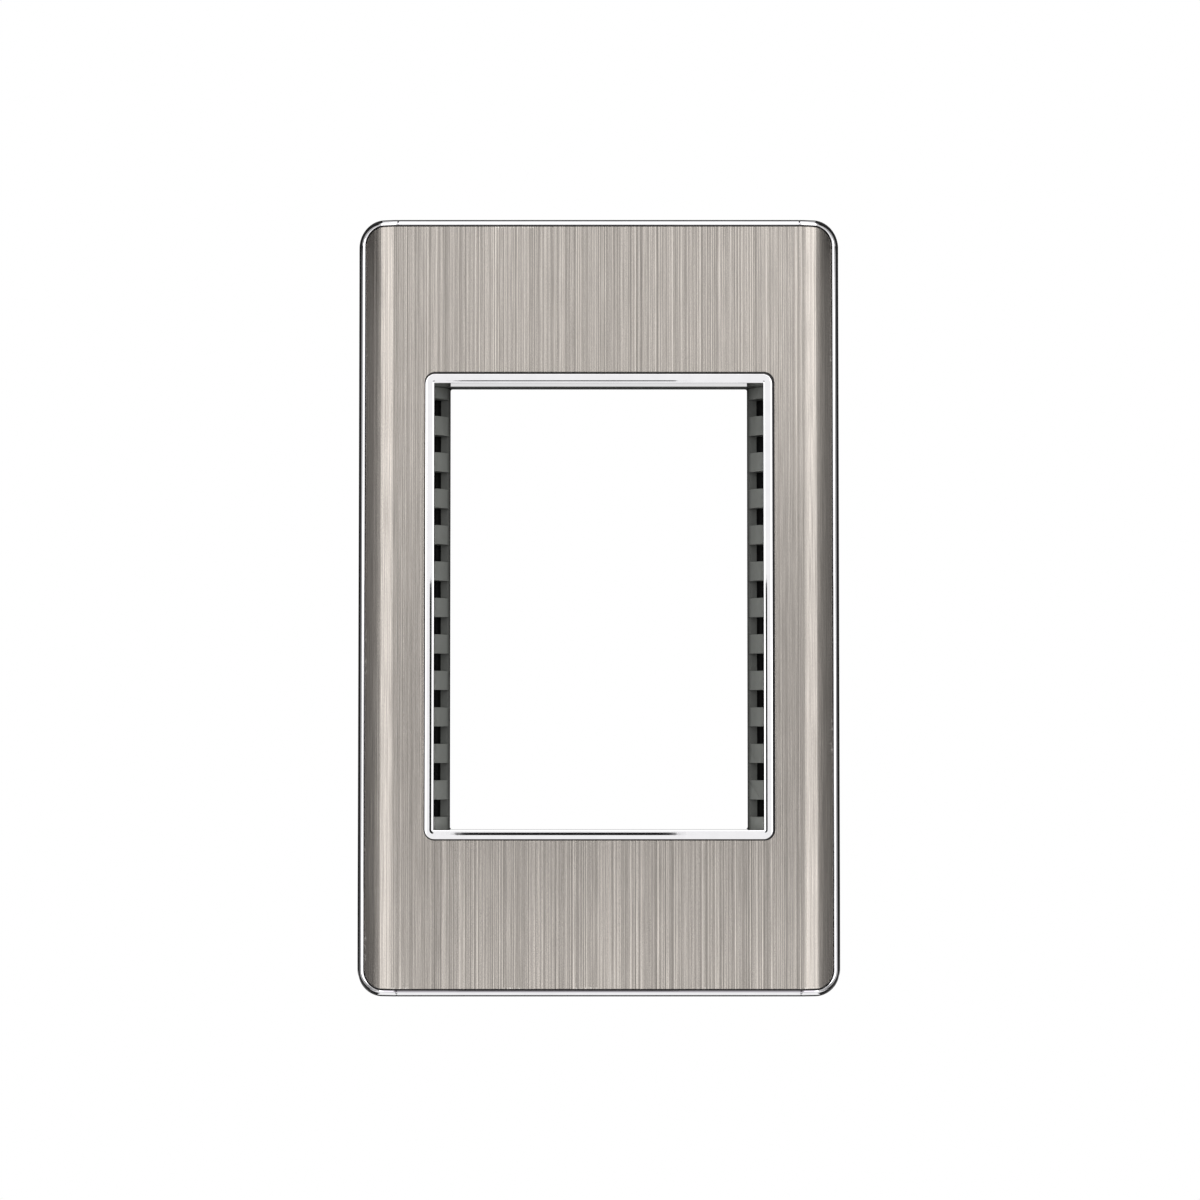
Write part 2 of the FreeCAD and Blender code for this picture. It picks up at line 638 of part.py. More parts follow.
def build_mounting_frame(document):
    """Build the moulded mounting frame with its two notched module rails."""
    body = add_body(document, "mounting_frame")
    block_pad(
        body, "frame_block", ("frame_width", "frame_height"), ("0 mm", "rim_level"),
        "frame_radius",
    )
    inside = ("frame_width - 2 * rim_wall", "frame_height - 2 * rim_wall")
    block_pocket(
        body, "frame_inside", inside, ("frame_base", "rim_level + overcut"),
        "frame_radius - rim_wall",
    )
    add_grid(body, "spine", ("frame_base", "spine_level"), "spine_width", inside)
    block_pad(
        body, "rail_block",
        ("aperture_width + 2 * rail_wall", "aperture_height + 2 * end_wall"),
        ("0 mm", "rail_level"), "end_wall",
    )
    block_pocket(
        body, "aperture", ("aperture_width", "aperture_height"),
        ("-1 * overcut", "rail_level + overcut"), "aperture_radius",
    )
    cut_rail_shoulders(body)
    cut_rail_notches(body)
    cut_screw_slots(body)
    cut_hook_windows(body)
    return body


def cut_rail_shoulders(body):
    """Round the front edge of both rails towards the opening."""
    sketch = add_sketch(body, "shoulder_section", "XY_Plane")
    front = "-1 * ( rail_level + overcut )"
    foot = "-1 * ( rail_level - shoulder_height )"
    draw_on_both_sides(sketch, (
        ("aperture_width / 2", foot),
        ("aperture_width / 2 + shoulder_width", "-1 * rail_level", "shoulder_radius", "left"),
        ("aperture_width / 2 + shoulder_width", front),
        ("aperture_width / 2 - overcut", front),
        ("aperture_width / 2 - overcut", foot),
    ))
    pocket(body, "rail_shoulders", sketch, "aperture_height", symmetric=True)


def cut_rail_notches(body):
    """Cut the row of module notches into both rails, each with a ledge and a hook pocket."""
    first = "-1 * ( notch_count - 1 ) / 2 * notch_pitch"
    sketch = add_sketch(body, "notch_section", "XY_Plane", first)
    front = "-1 * ( rail_level + overcut )"
    ledge_edge = "-1 * ( ledge_level - ledge_bevel )"
    pocket_near = "aperture_width / 2 + ledge_width"
    pocket_far = "aperture_width / 2 + ledge_width + pocket_width"
    draw_on_both_sides(sketch, (
        ("aperture_width / 2 - overcut", front),
        ("aperture_width / 2 - overcut", ledge_edge),
        ("aperture_width / 2", ledge_edge),
        ("aperture_width / 2 + ledge_bevel", "-1 * ledge_level"),
        (pocket_near, "-1 * ledge_level"),
        (pocket_near, "-1 * pocket_level"),
        (pocket_far, "-1 * pocket_level"),
        (pocket_far, front),
    ))
    notch = pocket(body, "rail_notch", sketch, "notch_width", symmetric=True)
    repeat_along(body, "rail_notches", notch, "Z_Axis", "notch_count", "notch_pitch")


def cut_screw_slots(body):
    """Cut the two wall box screw slots and the seats for their heads."""
    cuts = (
        ("screw_slot", "slot_width", "slot_length", "-1 * overcut"),
        ("screw_seat", "seat_width", "seat_length", "frame_base - seat_depth"),
    )
    for name, width, length, floor in cuts:
        lower = ("0 mm", "-1 * screw_spacing / 2")
        sketch = add_sketch(body, f"{name}_outline", "XZ_Plane", "rim_level", lower)
        draw_upright_slot(sketch, width, length)
        slot = pocket(body, name, sketch, f"rim_level - ( {floor} )")
        repeat_along(body, f"{name}s", slot, "Z_Axis", "2", "screw_spacing")


def cut_hook_windows(body):
    """Cut the windows in the rim that the cover hooks snap into."""
    first = "-1 * ( hook_count - 1 ) / 2 * hook_pitch"
    sketch = add_sketch(body, "hook_window_section", "XY_Plane", first)
    inner = "frame_width / 2 - rim_wall - hook_window_gap"
    outer = "frame_width / 2 + overcut"
    lower = "-1 * ( hook_level - hook_window_gap )"
    upper = "-1 * ( hook_catch_level + catch_gap )"
    draw_on_both_sides(sketch, ((inner, lower), (outer, lower), (outer, upper), (inner, upper)))
    length = "hook_length + 2 * hook_window_gap"
    window = pocket(body, "hook_window", sketch, length, symmetric=True)
    repeat_along(body, "hook_windows", window, "Z_Axis", "hook_count", "hook_pitch")


def check_document(document):
    """Stop the build if any object failed or any piece is not one sound solid."""
    for item in document.Objects:
        if "Invalid" in item.State or "Error" in item.State:
            raise RuntimeError(f"{item.Name} failed: {item.State}")
    for body in document.findObjects("PartDesign::Body"):
        shape = body.Shape
        if shape.isNull() or not shape.isValid() or len(shape.Solids) != 1:
            raise RuntimeError(f"{body.Label} is not one valid solid")


def main():
    """Build every piece, check it and write it as a STEP file."""
    document = FreeCAD.newDocument("switch_plate")
    add_dimension_sheet(document)
    builders = (
        build_mounting_frame,
        build_cover_carrier,
        build_outer_trim,
        build_face_sheet,
        build_inner_bezel,
    )
    bodies = [build(document) for build in builders]
    document.recompute()
    check_document(document)
    os.makedirs(OUTPUT_FOLDER, exist_ok=True)
    for body in bodies:
        body.Shape.exportStep(os.path.join(OUTPUT_FOLDER, f"{body.Label}.step"))


main()
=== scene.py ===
import json
import logging
import math
from contextlib import contextmanager
from dataclasses import dataclass, field, replace
from enum import Enum
from typing import Any, Callable, Iterator, Sequence

import bmesh
import bpy
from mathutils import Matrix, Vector

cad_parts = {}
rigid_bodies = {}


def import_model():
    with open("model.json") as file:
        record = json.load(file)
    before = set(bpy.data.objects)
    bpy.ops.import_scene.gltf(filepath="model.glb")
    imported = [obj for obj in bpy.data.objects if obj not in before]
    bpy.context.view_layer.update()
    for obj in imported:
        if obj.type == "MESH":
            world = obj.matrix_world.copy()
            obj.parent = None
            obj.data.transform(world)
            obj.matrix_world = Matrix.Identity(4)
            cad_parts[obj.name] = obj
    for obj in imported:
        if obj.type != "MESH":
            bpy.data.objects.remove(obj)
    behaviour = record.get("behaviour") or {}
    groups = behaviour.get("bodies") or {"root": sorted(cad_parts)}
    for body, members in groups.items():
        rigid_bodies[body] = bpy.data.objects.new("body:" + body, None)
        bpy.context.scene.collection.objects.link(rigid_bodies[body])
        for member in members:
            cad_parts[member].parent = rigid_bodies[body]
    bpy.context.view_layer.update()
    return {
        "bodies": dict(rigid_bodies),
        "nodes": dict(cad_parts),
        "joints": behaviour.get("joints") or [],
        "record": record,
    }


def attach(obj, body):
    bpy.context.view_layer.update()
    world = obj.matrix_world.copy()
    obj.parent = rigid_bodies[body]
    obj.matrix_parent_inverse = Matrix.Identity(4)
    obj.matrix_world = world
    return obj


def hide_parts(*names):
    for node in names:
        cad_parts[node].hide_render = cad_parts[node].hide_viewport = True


# The pieces of the plate are measured in millimetres, the finishes and the studio in metres.
# A level is a distance from the wall. The front of the plate looks along -y.
MM = 0.001
BODY = "root"

# Two levels closer than this are the same, in millimetres, and so are two places, in metres.
LEVEL_GAP = 0.005
PLACE_GAP = 0.001 * MM
# A face looks one way if its normal points at least this much that way.
SQUARE_ON = 0.9
WHITE = (1.0, 1.0, 1.0)

Pair = tuple[float, float]
Triple = tuple[float, float, float]

log = logging.getLogger("wall_plate")


class Signal:
    """One number that varies over a surface, written in ordinary arithmetic."""

    def __init__(self, recipe: "Recipe", socket: bpy.types.NodeSocket) -> None:
        """Wrap an output socket.

        Args:
            recipe: The node tree that the socket belongs to.
            socket: The output socket that carries the number.
        """
        self.recipe = recipe
        self.socket = socket

    def combined(self, operation: str, first: Any, second: Any = None) -> "Signal":
        """Add one Math node.

        Args:
            operation: Name of the Math node's operation.
            first: Its first value, a number or a signal.
            second: Its second value, where the operation has one.

        Returns:
            The result of the operation.
        """
        inputs = {0: first} if second is None else {0: first, 1: second}
        node = self.recipe.node("ShaderNodeMath", {"operation": operation}, inputs)
        return Signal(self.recipe, node.outputs[0])

    def __add__(self, other: Any) -> "Signal":
        """Return self + other."""
        return self.combined("ADD", self, other)

    __radd__ = __add__

    def __sub__(self, other: Any) -> "Signal":
        """Return self - other."""
        return self.combined("SUBTRACT", self, other)

    def __rsub__(self, other: Any) -> "Signal":
        """Return other - self."""
        return self.combined("SUBTRACT", other, self)

    def __mul__(self, other: Any) -> "Signal":
        """Return self * other."""
        return self.combined("MULTIPLY", self, other)

    __rmul__ = __mul__

    def __abs__(self) -> "Signal":
        """Return the size of self without its sign."""
        return self.combined("ABSOLUTE", self)

    def at_least(self, floor: Any) -> "Signal":
        """Return the larger of self and floor."""
        return self.combined("MAXIMUM", self, floor)

    def at_most(self, ceiling: Any) -> "Signal":
        """Return the smaller of self and ceiling."""
        return self.combined("MINIMUM", self, ceiling)

    def ramp(self, low: float, high: float, smooth: bool = True) -> "Signal":
        """Run from 0 at low to 1 at high.

        Args:
            low: The value that gives 0.
            high: The value that gives 1, which may be the smaller of the two.
            smooth: Whether the ramp eases in and out.

        Returns:
            The ramp as a signal between 0 and 1.
        """
        node = self.recipe.node(
            "ShaderNodeMapRange",
            {"interpolation_type": "SMOOTHSTEP" if smooth else "LINEAR", "clamp": True},
            {"Value": self, "From Min": low, "From Max": high},
        )
        return Signal(self.recipe, node.outputs[0])


class Recipe:
    """The node tree of one finish, or of the light around the object."""

    def __init__(self, tree: bpy.types.NodeTree) -> None:
        """Take over an empty node tree.

        Args:
            tree: The tree that the nodes go into.
        """
        self.tree = tree
        self.tree.nodes.clear()

    def feed(self, socket: bpy.types.NodeSocket, value: Any) -> None:
        """Give a socket its value.

        Args:
            socket: The input socket.
            value: A signal, an output socket, a number, or a colour or vector as a tuple.
        """
        if isinstance(value, Signal):
            value = value.socket
        if isinstance(value, bpy.types.NodeSocket):
            self.tree.links.new(value, socket)
        elif isinstance(value, tuple) and len(value) < len(socket.default_value):
            socket.default_value = (*value, 1.0)
        else:
            socket.default_value = value

    def node(
        self, kind: str, settings: dict[str, Any] | None = None, inputs: dict[Any, Any] | None = None
    ) -> bpy.types.Node:
        """Add one node.

        Args:
            kind: Type of the node.
            settings: Its settings, set before its sockets.
            inputs: Values or links of its sockets, by name or place.

        Returns:
            The new node.
        """
        node = self.tree.nodes.new(kind)
        for name, value in (settings or {}).items():
            setattr(node, name, value)
        for name, value in (inputs or {}).items():
            self.feed(node.inputs[name], value)
        return node

    def place(self) -> bpy.types.NodeSocket:
        """Return the place on the piece, in metres."""
        return self.node("ShaderNodeTexCoord").outputs["Object"]

    def axes(self) -> tuple[Signal, Signal, Signal]:
        """Return the place on the piece as three signals."""
        split = self.node("ShaderNodeSeparateXYZ", {}, {0: self.place()})
        return tuple(Signal(self, split.outputs[i]) for i in range(3))

    def noise(self, spacing: Triple, detail: float = 1.0, roughness: float = 0.5) -> Signal:
        """Add a soft random pattern.

        Args:
            spacing: Size of one cell of the pattern along each axis, in metres.
            detail: How many finer patterns lie on top.
            roughness: How strong the finer patterns are.

        Returns:
            The pattern, around 0.5.
        """
        scale = tuple(1.0 / size for size in spacing)
        spread = self.node("ShaderNodeMapping", {}, {"Vector": self.place(), "Scale": scale})
        texture = self.node(
            "ShaderNodeTexNoise",
            {"noise_dimensions": "3D"},
            {"Vector": spread.outputs[0], "Scale": 1.0, "Detail": detail, "Roughness": roughness},
        )
        return Signal(self, texture.outputs[0])

    def blend(self, amount: Any, first: Any, second: Any) -> bpy.types.NodeSocket:
        """Mix two colours.

        Args:
            amount: How much of the second colour, from 0 to 1.
            first: The colour at 0.
            second: The colour at 1.

        Returns:
            The mixed colour.
        """
        mix = self.node("ShaderNodeMix", {"data_type": "RGBA"}, {0: amount, 6: first, 7: second})
        return mix.outputs[2]

    def bump(self, height: Signal, depth: float) -> bpy.types.NodeSocket:
        """Turn a height into a surface that catches the light.

        Args:
            height: The height, from 0 to 1.
            depth: What a height of 1 stands for, in metres.

        Returns:
            The bent surface direction.
        """
        inputs = {"Strength": 1.0, "Distance": depth, "Height": height}
        return self.node("ShaderNodeBump", {}, inputs).outputs[0]

    def surface(self, sockets: dict[str, Any]) -> None:
        """Close the finish with one shader.

        Args:
            sockets: Values and links of the shader's sockets.
        """
        shader = self.node("ShaderNodeBsdfPrincipled", {}, sockets)
        self.node("ShaderNodeOutputMaterial", {}, {"Surface": shader.outputs[0]})

    def backdrop(self, ending: str, lit: bpy.types.Node, seen: bpy.types.Node) -> None:
        """Close the tree with one shader to be seen and mirrored, and one for all other light.

        Args:
            ending: Type of the closing node.
            lit: The shader that sends light to the plate.
            seen: The shader that the camera, the metal and clear pieces show.
        """
        path = self.node("ShaderNodeLightPath")
        camera, glossy, clear = (
            Signal(self, path.outputs[name])
            for name in ("Is Camera Ray", "Is Glossy Ray", "Is Transmission Ray")
        )
        share = camera.at_least(glossy).at_least(clear)
        mix = self.node("ShaderNodeMixShader", {}, {0: share, 1: lit.outputs[0], 2: seen.outputs[0]})
        self.node(ending, {}, {"Surface": mix.outputs[0]})


def new_material(name: str) -> tuple[bpy.types.Material, Recipe]:
    """Start an empty finish.

    Args:
        name: Name of the material.

    Returns:
        The material and the recipe that fills it.
    """
    material = bpy.data.materials.new(name)
    material.use_nodes = True
    return material, Recipe(material.node_tree)


@dataclass(frozen=True)
class BrushedSteel:
    """Warm grey metal sheet with a long upright grain.

    A pattern's size is that of one cell. A pair is where a change starts and where it is complete.
    """

    dark: Triple = (0.13, 0.119, 0.108)
    light: Triple = (0.74, 0.685, 0.632)
    # Colour of the chipped burrs on the cut edge, painted bright as a glint.
    burr_glint: Triple = (0.85, 0.82, 0.77)
    roughness: float = 0.255
    roughness_change: float = 0.12
    grain_spread: float = 0.78
    grain_depth: float = 0.6e-6
    scratch_share: float = 0.4
    line_size: Triple = (0.055 * MM, 1.0, 260 * MM)
    band_size: Triple = (0.3 * MM, 1.0, 260 * MM)
    scratch_size: Triple = (0.1 * MM, 1.0, 9 * MM)
    mottle_size: Triple = (0.08 * MM, 1.0, 0.25 * MM)
    tone: float = 0.58
    line_contrast: float = 2.2
    line_contrast_lost: float = 1.2
    band_contrast: float = 0.15
    scratch_contrast: float = 0.4
    mottle_contrast: float = 0.25
    rolled_from: Pair = (30.5 * MM, 32 * MM)
    # Painted shade darkens the left of the sheet, and a painted dark reflection darkens the middle of
    # its right side.
    left_shade: float = 0.045
    left_from: Pair = (-12 * MM, -30 * MM)
    right_shade: float = 0.07
    right_from: Pair = (14 * MM, 28 * MM)
    right_middle: float = -12 * MM
    right_height: Pair = (52 * MM, 14 * MM)
    side_rim: Pair = (35.3 * MM, 35.6 * MM)
    end_rim: Pair = (57.9 * MM, 58.1 * MM)
    chip_size: Triple = (0.25 * MM, 1.0, 0.8 * MM)
    chip_from: Pair = (0.52, 0.68)
    patch_size: Triple = (9 * MM, 1.0, 14 * MM)
    patch_from: Pair = (0.54, 0.66)

    def make(self) -> bpy.types.Material:
        """Mix the finish, with painted shade to the left and a painted dark reflection on the right,
        with fainter lines on the bends.

        Returns:
            The material.
        """
        material, recipe = new_material("brushed_steel")
        lines = recipe.noise(self.line_size, roughness=0.6)
        bands = recipe.noise(self.band_size)
        scratches = recipe.noise(self.scratch_size)
        mottle = recipe.noise(self.mottle_size) - 0.5
        across, _, up = recipe.axes()
        left = across.ramp(*self.left_from)
        right = across.ramp(*self.right_from) * abs(up - self.right_middle).ramp(*self.right_height)
        rolled = abs(across).ramp(*self.rolled_from)
        tone = self.tone + (lines - 0.5) * (self.line_contrast - rolled * self.line_contrast_lost)
        tone = tone + (bands - 0.5) * self.band_contrast
        tone = tone + (scratches - 0.5) * self.scratch_contrast
        tone = tone + mottle * rolled * self.mottle_contrast
        # Painted shade to the left and a painted dark reflection on the right, both taken off the
        # tone.
        tone = tone - left * self.left_shade - right * self.right_shade
        tone = tone.at_least(0.0).at_most(1.0)
        colour = recipe.blend(tone * tone, self.dark, self.light)
        grain = lines * (1 - self.scratch_share) + scratches * self.scratch_share
        # The chipped burrs of the cut edge get a painted glint, brighter than the metal.
        recipe.surface({
            "Base Color": recipe.blend(self.burr_glints(recipe), colour, self.burr_glint),
            "Metallic": 1.0,
            "Roughness": self.roughness + (bands - 0.5) * self.roughness_change,
            "Anisotropic": self.grain_spread,
            "Normal": recipe.bump(grain, self.grain_depth),
        })
        return material

    def burr_glints(self, recipe: Recipe) -> Signal:
        """Find where the cut edge of the sheet is chipped, with a painted glint on the chips.

        Args:
            recipe: The recipe of the finish.

        Returns:
            How strong the painted glint on the chipped burr is, from 0 to 1.
        """
        across, _, up = recipe.axes()
        rim = abs(across).ramp(*self.side_rim).at_least(abs(up).ramp(*self.end_rim))
        chips = recipe.noise(self.chip_size, detail=2.0, roughness=0.6).ramp(*self.chip_from)
        patches = recipe.noise(self.patch_size).ramp(*self.patch_from)
        return rim * chips * patches


@dataclass(frozen=True)
class BrightPlating:
    """Bright plating on a moulding, with the faint waviness of the plastic under it."""

    name: str
    colour: Triple = (0.92, 0.915, 0.93)
    hazed: Triple = (0.81, 0.80, 0.82)
    roughness: float = 0.02
    haze_roughness: float = 0.03
    haze_size: float = 2.5 * MM
    wave_size: Triple = (1.6 * MM, 1.6 * MM, 6 * MM)
    wave_depth: float = 3e-6
    # Painted shade: a darker colour for a level strip of the plating.
    painted_shade_colour: Triple = (0.40, 0.38, 0.41)
    painted_shade_strip: Pair | None = None
    painted_shade_edge: float = 0.06 * MM
    painted_shade_end: Pair = (33.5 * MM, 32.5 * MM)

    def make(self) -> bpy.types.Material:
        """Mix the finish, with painted shade in a level strip where it has one.

        Returns:
            The material.
        """
        material, recipe = new_material(self.name)
        haze = recipe.noise((self.haze_size,) * 3, detail=3.0, roughness=0.6)
        waves = recipe.noise(self.wave_size, roughness=0.4)
        colour = recipe.blend(haze, self.colour, self.hazed)
        # Painted shade in a level strip, fading out towards the ends of the strip.
        if self.painted_shade_strip is not None:
            across, _, up = recipe.axes()
            low, high = self.painted_shade_strip
            strip = up.ramp(low, low + self.painted_shade_edge) * up.ramp(high, high - self.painted_shade_edge)
            strip = strip * abs(across).ramp(*self.painted_shade_end)
            colour = recipe.blend(strip, colour, self.painted_shade_colour)
        recipe.surface({
            "Base Color": colour,
            "Metallic": 1.0,
            "Roughness": self.roughness + haze * self.haze_roughness,
            "Normal": recipe.bump(waves, self.wave_depth),
        })
        return material


@dataclass(frozen=True)
class MouldedPlastic:
    """Dark moulded plastic with a fine matt texture."""

    name: str
    dark: Triple
    light: Triple
    roughness: float
    roughness_change: float = 0.14
    specular: float = 0.5
    pit_size: float = 0.11 * MM
    pit_depth: float = 5e-6
    pit_share: float = 0.4
    cloud_size: float = 6 * MM
    # Painted shade: the near-black colour of the recesses and end walls, with the levels and places
    # where it lies.
    recess_shade_colour: Triple = (0.002, 0.002, 0.002)
    recess_shade_levels: Pair | None = None
    back_levels: Pair = (0.3 * MM, 0.1 * MM)
    end_wall: Pair = (34.0 * MM, 34.7 * MM)
    end_wall_edge: float = 0.05 * MM
    end_wall_shade: float = 0.6

    def make(self) -> bpy.types.Material:
        """Mix the finish, with painted shade in its recesses and on the end walls of its opening where
        it has levels for them.

        Returns:
            The material.
        """
        material, recipe = new_material(self.name)
        pits = recipe.noise((self.pit_size,) * 3, detail=2.0, roughness=0.55)
        clouds = recipe.noise((self.cloud_size,) * 3, detail=3.0, roughness=0.55)
        mottle = clouds * (1 - self.pit_share) + pits * self.pit_share
        colour = recipe.blend(mottle, self.dark, self.light)
        # Painted shade: the moulding turns near black towards the wall between the recess levels and
        # on the end walls of the opening, but not on its back.
        if self.recess_shade_levels is not None:
            _, inwards, up = recipe.axes()
            level = inwards * -1.0
            low, high = self.end_wall
            wall = up.ramp(low, low + self.end_wall_edge) * up.ramp(high, high - self.end_wall_edge)
            front = level.ramp(*self.recess_shade_levels, smooth=False) - wall * self.end_wall_shade
            lit = front.at_least(level.ramp(*self.back_levels))
            colour = recipe.blend(lit, self.recess_shade_colour, colour)
        recipe.surface({
            "Base Color": colour,
            "Roughness": self.roughness + (clouds - 0.5) * self.roughness_change,
            "Specular IOR Level": self.specular,
            "Normal": recipe.bump(pits, self.pit_depth),
        })
        return material


class Side(Enum):
    """A side of the plate that a face looks to, with its direction along y."""

    FRONT = -1.0
    BACK = 1.0


class Element(Enum):
    """What is picked in edit mode, with its list in the mesh."""

    EDGE = "edges"
    FACE = "faces"


class Work(Enum):
    """What is done to a piece with another shape."""

    CUT = "DIFFERENCE"
    GROW = "UNION"


class Blank:
    """A piece of work on the bench, shaped with the usual edit tools."""

    merge_gap = 0.0005 * MM
    smooth_angle = math.radians(32)
    flat_angle = math.radians(0.5)

    def __init__(self, body: bpy.types.Object) -> None:
        """Take a piece onto the bench.

        Args:
            body: The object to work on.
        """
        self.body = body
        self.body.data.name = body.name

    @classmethod
    def block(cls, name: str, size: Pair, levels: Pair, radius: float, segments: int) -> "Blank":
        """Cut a block with rounded corners, centred on the window.

        Args:
            name: Name of the piece.
            size: Width and height.
            levels: Levels of its back and front.
            radius: Corner radius seen from the front.
            segments: Flats in one corner.

        Returns:
            The block.
        """
        bpy.ops.object.select_all(action="DESELECT")
        depth = levels[1] - levels[0]
        bpy.ops.mesh.primitive_cube_add(
            size=1.0,
            location=(0.0, -(levels[0] + depth / 2) * MM, 0.0),
            scale=(size[0] * MM, depth * MM, size[1] * MM),
        )
        bpy.context.object.name = name
        blank = cls(bpy.context.object)
        bpy.ops.object.transform_apply(location=True, rotation=True, scale=True)
        with blank.editing():
            blank.pick(
                Element.EDGE,
                lambda edge: abs((edge.verts[0].co - edge.verts[1].co).y) > PLACE_GAP,
            )
            bpy.ops.mesh.bevel(offset=radius * MM, segments=segments, profile=0.5)
        return blank

    @classmethod
    def copied(cls, name: str, node: bpy.types.Object) -> "Blank":
        """Copy a moulding and merge its loose triangles.

        Args:
            name: Name of the copy.
            node: The moulding.

        Returns:
            The copy, with flat faces in one piece.
        """
        body = bpy.data.objects.new(name, node.data.copy())
        bpy.context.scene.collection.objects.link(body)
        blank = cls(body)
        blank.activate()
        bpy.ops.mesh.customdata_custom_splitnormals_clear()
        with blank.editing():
            bpy.ops.mesh.select_all(action="SELECT")
            bpy.ops.mesh.remove_doubles(threshold=PLACE_GAP)
            bpy.ops.mesh.mark_sharp(clear=True)
            bpy.ops.mesh.dissolve_limited(angle_limit=cls.flat_angle)
        return blank

    def move(self, way: Pair) -> None:
        """Move the piece in the plane of the plate.

        Args:
            way: How far it moves to the right and up.
        """
        with self.editing():
            bpy.ops.mesh.select_all(action="SELECT")
            bpy.ops.transform.translate(value=(way[0] * MM, 0.0, way[1] * MM))

    def activate(self) -> None:
        """Make this the only selected piece."""
        bpy.ops.object.select_all(action="DESELECT")
        self.body.select_set(True)
        bpy.context.view_layer.objects.active = self.body

    @contextmanager
    def editing(self) -> Iterator[None]:
        """Open the piece in edit mode with nothing selected.

        Yields:
            Nothing, while the piece is open.
        """
        self.activate()
        bpy.ops.object.mode_set(mode="EDIT")
        bpy.ops.mesh.select_all(action="DESELECT")
        yield
        bpy.ops.object.mode_set(mode="OBJECT")

    def pick(self, element: Element, wanted: Callable[[Any], bool]) -> None:
        """Select edges or faces and nothing else.

        Args:
            element: Which of the two.
            wanted: Says whether an edge or a face is one of them.
        """
        bpy.ops.mesh.select_mode(type=element.name)
        bpy.ops.mesh.select_all(action="DESELECT")
        mesh = bmesh.from_edit_mesh(self.body.data)
        for item in getattr(mesh, element.value):
            if wanted(item):
                item.select_set(True)
        mesh.select_flush_mode()
        bmesh.update_edit_mesh(self.body.data)

    def pick_end(self, side: Side) -> None:
        """Select the large flat end that looks to one side.

        Args:
            side: The front or the back.
        """

        def faces_side(face: bmesh.types.BMFace) -> bool:
            """Return whether the face looks to that side."""
            return face.normal.y * side.value > SQUARE_ON

        mesh = bmesh.from_edit_mesh(self.body.data)
        enough = 0.999 * max(face.calc_area() for face in mesh.faces if faces_side(face))
        self.pick(Element.FACE, lambda face: faces_side(face) and face.calc_area() > enough)

    def work_inwards(self, side: Side, rings: Sequence[Pair]) -> None:
        """Step the flat end of the piece inwards, ring by ring.

        Args:
            side: The end to work on.
            rings: For each ring, its width and how much it rises outwards.
        """
        with self.editing():
            self.pick_end(side)
            for width, rise in rings:
                if width > 0:
                    bpy.ops.mesh.inset(thickness=width * MM, depth=rise * MM, use_even_offset=True)
                else:
                    move = (0.0, side.value * rise * MM, 0.0)
                    bpy.ops.mesh.extrude_region_move(TRANSFORM_OT_translate={"value": move})

    def open_through(self, size: Pair, front: float, back: float) -> None:
        """Join the inner outlines of front and back into one wall.

        Args:
            size: Width and height of the opening.
            front: Level of its front outline.
            back: Level of its back outline.
        """
        enough = 0.9 * size[0] * size[1] * MM * MM

        def is_lid(face: bmesh.types.BMFace) -> bool:
            """Return whether the face closes the opening at the front or at the back."""
            level = -face.calc_center_median().y / MM
            return min(abs(level - front), abs(level - back)) < LEVEL_GAP and face.calc_area() > enough

        with self.editing():
            self.pick(Element.FACE, is_lid)
            bpy.ops.mesh.bridge_edge_loops()

    def combine(self, other: "Blank", work: Work) -> None:
        """Take another shape out of this one or grow it on, and use it up.

        Args:
            other: The other shape.
            work: Which of the two.
        """
        self.modify("BOOLEAN", operation=work.value, object=other.body, solver="EXACT")
        bpy.data.objects.remove(other.body)

    def modify(self, kind: str, **settings: Any) -> None:
        """Run a modifier on the piece and apply it.

        Args:
            kind: Type of the modifier.
            settings: Its settings.
        """
        self.activate()
        bpy.ops.object.modifier_add(type=kind)
        modifier = self.body.modifiers[-1]
        for name, value in settings.items():
            setattr(modifier, name, value)
        bpy.ops.object.modifier_apply(modifier=modifier.name)

    def slice_upright(self, places: Sequence[float]) -> None:
        """Cut the surface along upright lines, on both sides of the middle.

        Args:
            places: Distances from the middle.
        """
        with self.editing():
            for place in [sign * x for x in places for sign in (-1.0, 1.0)]:
                bpy.ops.mesh.select_all(action="SELECT")
                bpy.ops.mesh.bisect(plane_co=(place * MM, 0.0, 0.0), plane_no=(1.0, 0.0, 0.0))

    def press(self, drop: Callable[[float, float], float], deepest: float, level: float) -> None:
        """Press the front down towards both long sides.

        Args:
            drop: Gives how far the surface drops at a distance across and along from the middle.
            deepest: The largest drop.
            level: Level from which the piece gives way.
        """
        group = self.body.vertex_groups.new(name="press")
        for vertex in self.body.data.vertices:
            if -vertex.co.y / MM > level - LEVEL_GAP:
                share = drop(abs(vertex.co.x) / MM, abs(vertex.co.z) / MM) / deepest
                group.add([vertex.index], min(max(share, 0.0), 1.0), "REPLACE")
        self.modify(
            "DISPLACE", direction="Y", mid_level=0.0, strength=deepest * MM, vertex_group="press"
        )
        self.body.vertex_groups.clear()

    def finish(self, material: bpy.types.Material, slot: str, *nodes: str) -> bpy.types.Object:
        """Close the surface, shade it and hand the piece over.

        Args:
            material: Its finish.
            slot: The material slot that it stands for, not used.
            nodes: The solids that it stands for.

        Returns:
            The finished object.
        """
        with self.editing():
            bpy.ops.mesh.select_all(action="SELECT")
            bpy.ops.mesh.remove_doubles(threshold=self.merge_gap)
            bpy.ops.mesh.normals_make_consistent(inside=False)
        self.activate()
        bpy.ops.object.shade_smooth_by_angle(angle=self.smooth_angle)
        self.modify("WEIGHTED_NORMAL", keep_sharp=True)
        self.body.data.materials.clear()
        self.body.data.materials.append(material)
        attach(self.body, BODY)
        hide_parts(*nodes)
        return self.body


